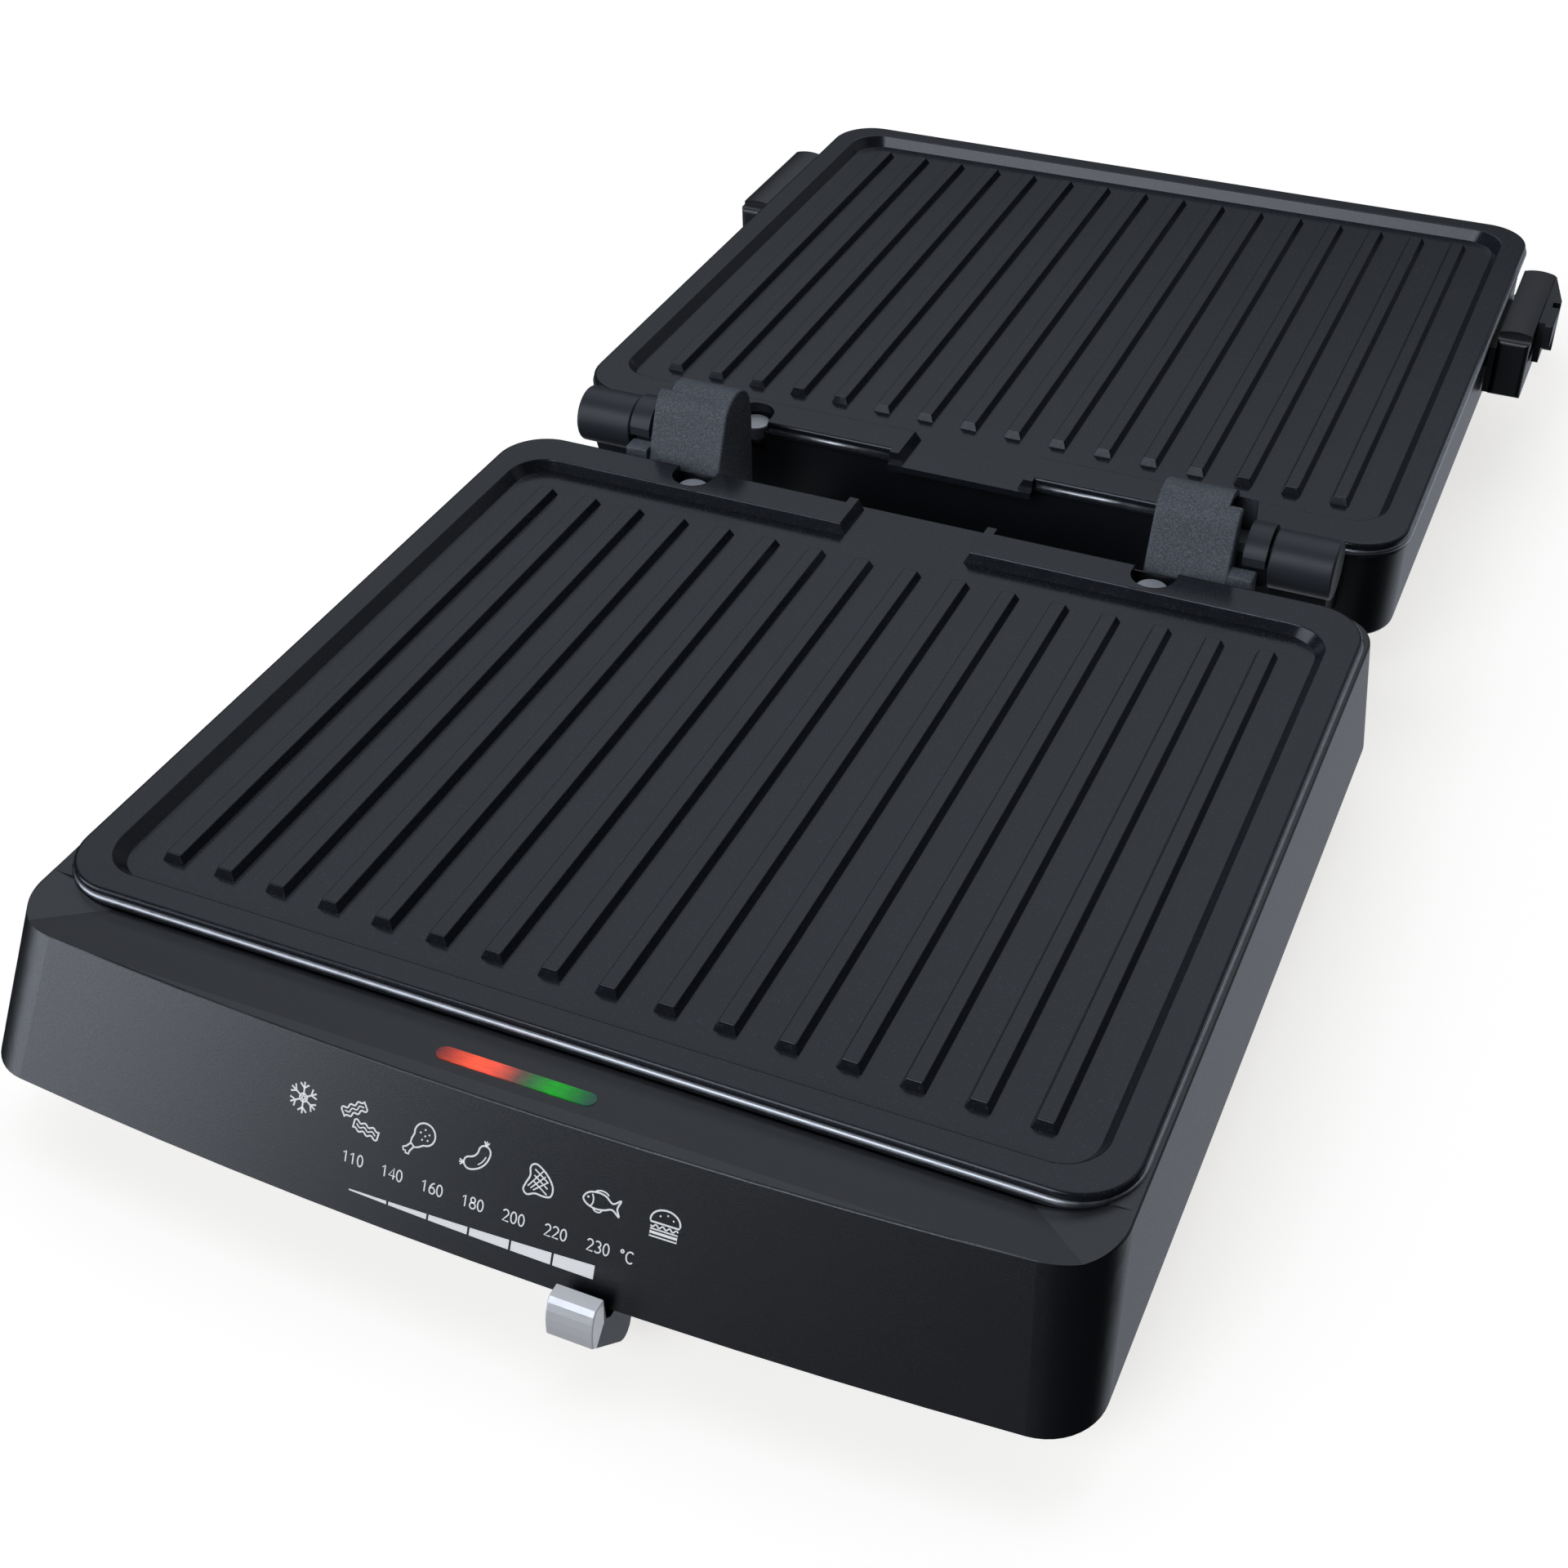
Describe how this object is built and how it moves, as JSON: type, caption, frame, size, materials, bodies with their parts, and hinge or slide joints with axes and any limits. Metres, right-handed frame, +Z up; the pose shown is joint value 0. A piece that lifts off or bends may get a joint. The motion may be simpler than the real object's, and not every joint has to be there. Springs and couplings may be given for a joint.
{
  "type": "panini press",
  "caption": "Contact grill lying open flat: ribbed plates in two black housings, floating hinge, slide temperature control, drip tray and handle.",
  "frame": {"origin": "on the table under the middle of the opened grill's footprint", "axes": "+Z up, +Y from the control panel at the front towards the opened lid, +X to the right of a user facing the control panel"},
  "size_m": [0.3234, 0.6364, 0.081],
  "materials": {
    "housing": "fine matte moulded plastic",
    "textured_plastic": "coarse spark-eroded texture",
    "trim_plastic": "satin moulded plastic",
    "nonstick": "die-cast aluminium under a speckled dark non-stick coating",
    "bright_chrome": "polished",
    "pin_steel": "ground steel",
    "element_steel": "heat-tinted sheath",
    "reflector_sheet": "rolled sheet",
    "foot_rubber": "matte",
    "lens": "translucent light window",
    "board": "coated circuit board",
    "insulator": "heat-resistant moulding"
  },
  "bodies": {
    "base": {"lower_housing": "housing", "base_cover": "housing", "rubber_feet": "foot_rubber", "cover_screws": "pin_steel", "tray_guide": "housing", "lower_plate": "nonstick", "lower_heating_element": "element_steel", "lower_reflector": "reflector_sheet", "slider_rail": "pin_steel", "thermostat": "insulator", "terminal_block": "insulator", "cord_gland": "foot_rubber", "indicator_lens": "lens", "indicator_board": "board", "hinge_arm_left": "textured_plastic", "hinge_arm_right": "textured_plastic"},
    "temperature_slider": {"slider_cap": "bright_chrome", "slider_lever": "trim_plastic"},
    "drip_tray": {"drip_tray": "trim_plastic"},
    "float_carriage": {"float_slide_left": "housing", "float_slide_right": "housing", "pivot_pin_left": "pin_steel", "pivot_pin_right": "pin_steel"},
    "lid": {"lid_housing": "housing", "lid_cover": "housing", "upper_plate": "nonstick", "upper_heating_element": "element_steel", "upper_reflector": "reflector_sheet", "handle_bar": "pin_steel", "handle_grip": "housing", "handle_bracket_left": "housing", "handle_bracket_right": "housing", "hinge_barrel_left": "housing", "hinge_barrel_right": "housing", "barrel_cap_left": "trim_plastic", "barrel_cap_right": "trim_plastic"},
    "handle_lock": {"lock_slider": "trim_plastic"},
    "lower_left_latch": {"lower_latch_left": "bright_chrome"},
    "lower_right_latch": {"lower_latch_right": "bright_chrome"},
    "upper_left_latch": {"upper_latch_left": "bright_chrome"},
    "upper_right_latch": {"upper_latch_right": "bright_chrome"}
  },
  "joints": [
    {"name": "hinge_float", "type": "slide", "parent": "base", "child": "float_carriage", "axis": [0, 0, 1], "range_m": [0, 0.01]},
    {"name": "lid_hinge", "type": "hinge", "parent": "float_carriage", "child": "lid", "pos_m": [0, 0.0033, 0.062], "axis": [1, 0, 0], "range_deg": [0, 179.3]},
    {"name": "temperature_slide", "type": "slide", "parent": "base", "child": "temperature_slider", "axis": [1, 0, 0], "range_m": [-0.062, 0.003]},
    {"name": "drip_tray_slide", "type": "slide", "parent": "base", "child": "drip_tray", "axis": [0, 1, 0], "range_m": [0, 0.09]},
    {"name": "lock_slide", "type": "slide", "parent": "lid", "child": "handle_lock", "axis": [0, -0.9999, -0.012], "range_m": [0, 0.01]},
    {"name": "lower_left_latch_press", "type": "slide", "parent": "base", "child": "lower_left_latch", "axis": [0, 0, -1], "range_m": [0, 0.003], "stiffness_N_per_m": 400, "springref_m": -0.001},
    {"name": "upper_left_latch_press", "type": "slide", "parent": "lid", "child": "upper_left_latch", "axis": [0, 0.012, -0.9999], "range_m": [0, 0.003], "stiffness_N_per_m": 400, "springref_m": -0.001},
    {"name": "lower_right_latch_press", "type": "slide", "parent": "base", "child": "lower_right_latch", "axis": [0, 0, -1], "range_m": [0, 0.003], "stiffness_N_per_m": 400, "springref_m": -0.001},
    {"name": "upper_right_latch_press", "type": "slide", "parent": "lid", "child": "upper_right_latch", "axis": [0, 0.012, -0.9999], "range_m": [0, 0.003], "stiffness_N_per_m": 400, "springref_m": -0.001}
  ]
}
